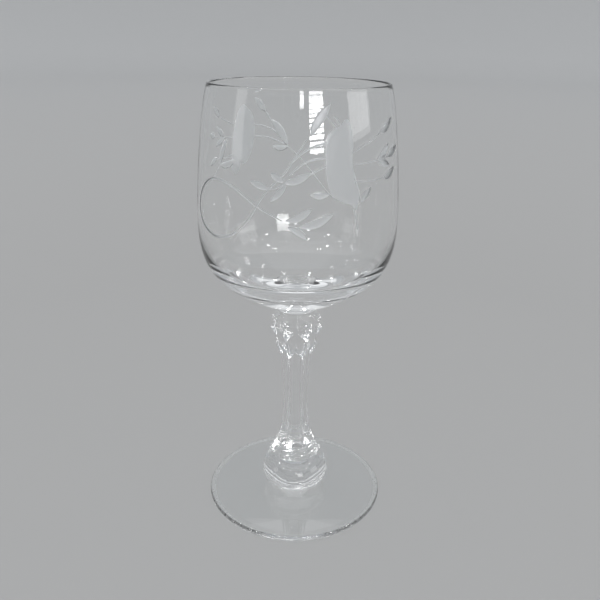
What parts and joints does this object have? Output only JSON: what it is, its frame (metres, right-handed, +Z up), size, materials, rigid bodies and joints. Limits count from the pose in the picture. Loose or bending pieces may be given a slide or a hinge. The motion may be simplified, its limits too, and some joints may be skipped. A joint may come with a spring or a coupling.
{
  "type": "wine glass",
  "caption": "Clear stemmed glass with a barrel-shaped bowl on a heavy base, a toothed knop, a fluted stem, a bell and ball knop and a flat round foot.",
  "frame": {"origin": "centre of the circle on which the foot rests, at the level of the table", "axes": "+Z up the axis of the glass; two of the six stem flutes face -Y and +Y, and the main spray of the engraving faces -Y"},
  "size_m": [0.0749, 0.0748, 0.17],
  "materials": {
    "clear_glass": "clear fire-polished glass; the bowl carries a wheel-cut floral spray in matte grey",
    "stem_glass": "clear pressed glass with bright softly rounded edges"
  },
  "bodies": {
    "root": {"foot": "clear_glass", "lower_knop": "stem_glass", "stem_shaft": "stem_glass", "upper_knop": "stem_glass", "collar": "clear_glass", "bowl": "clear_glass"}
  },
  "joints": []
}
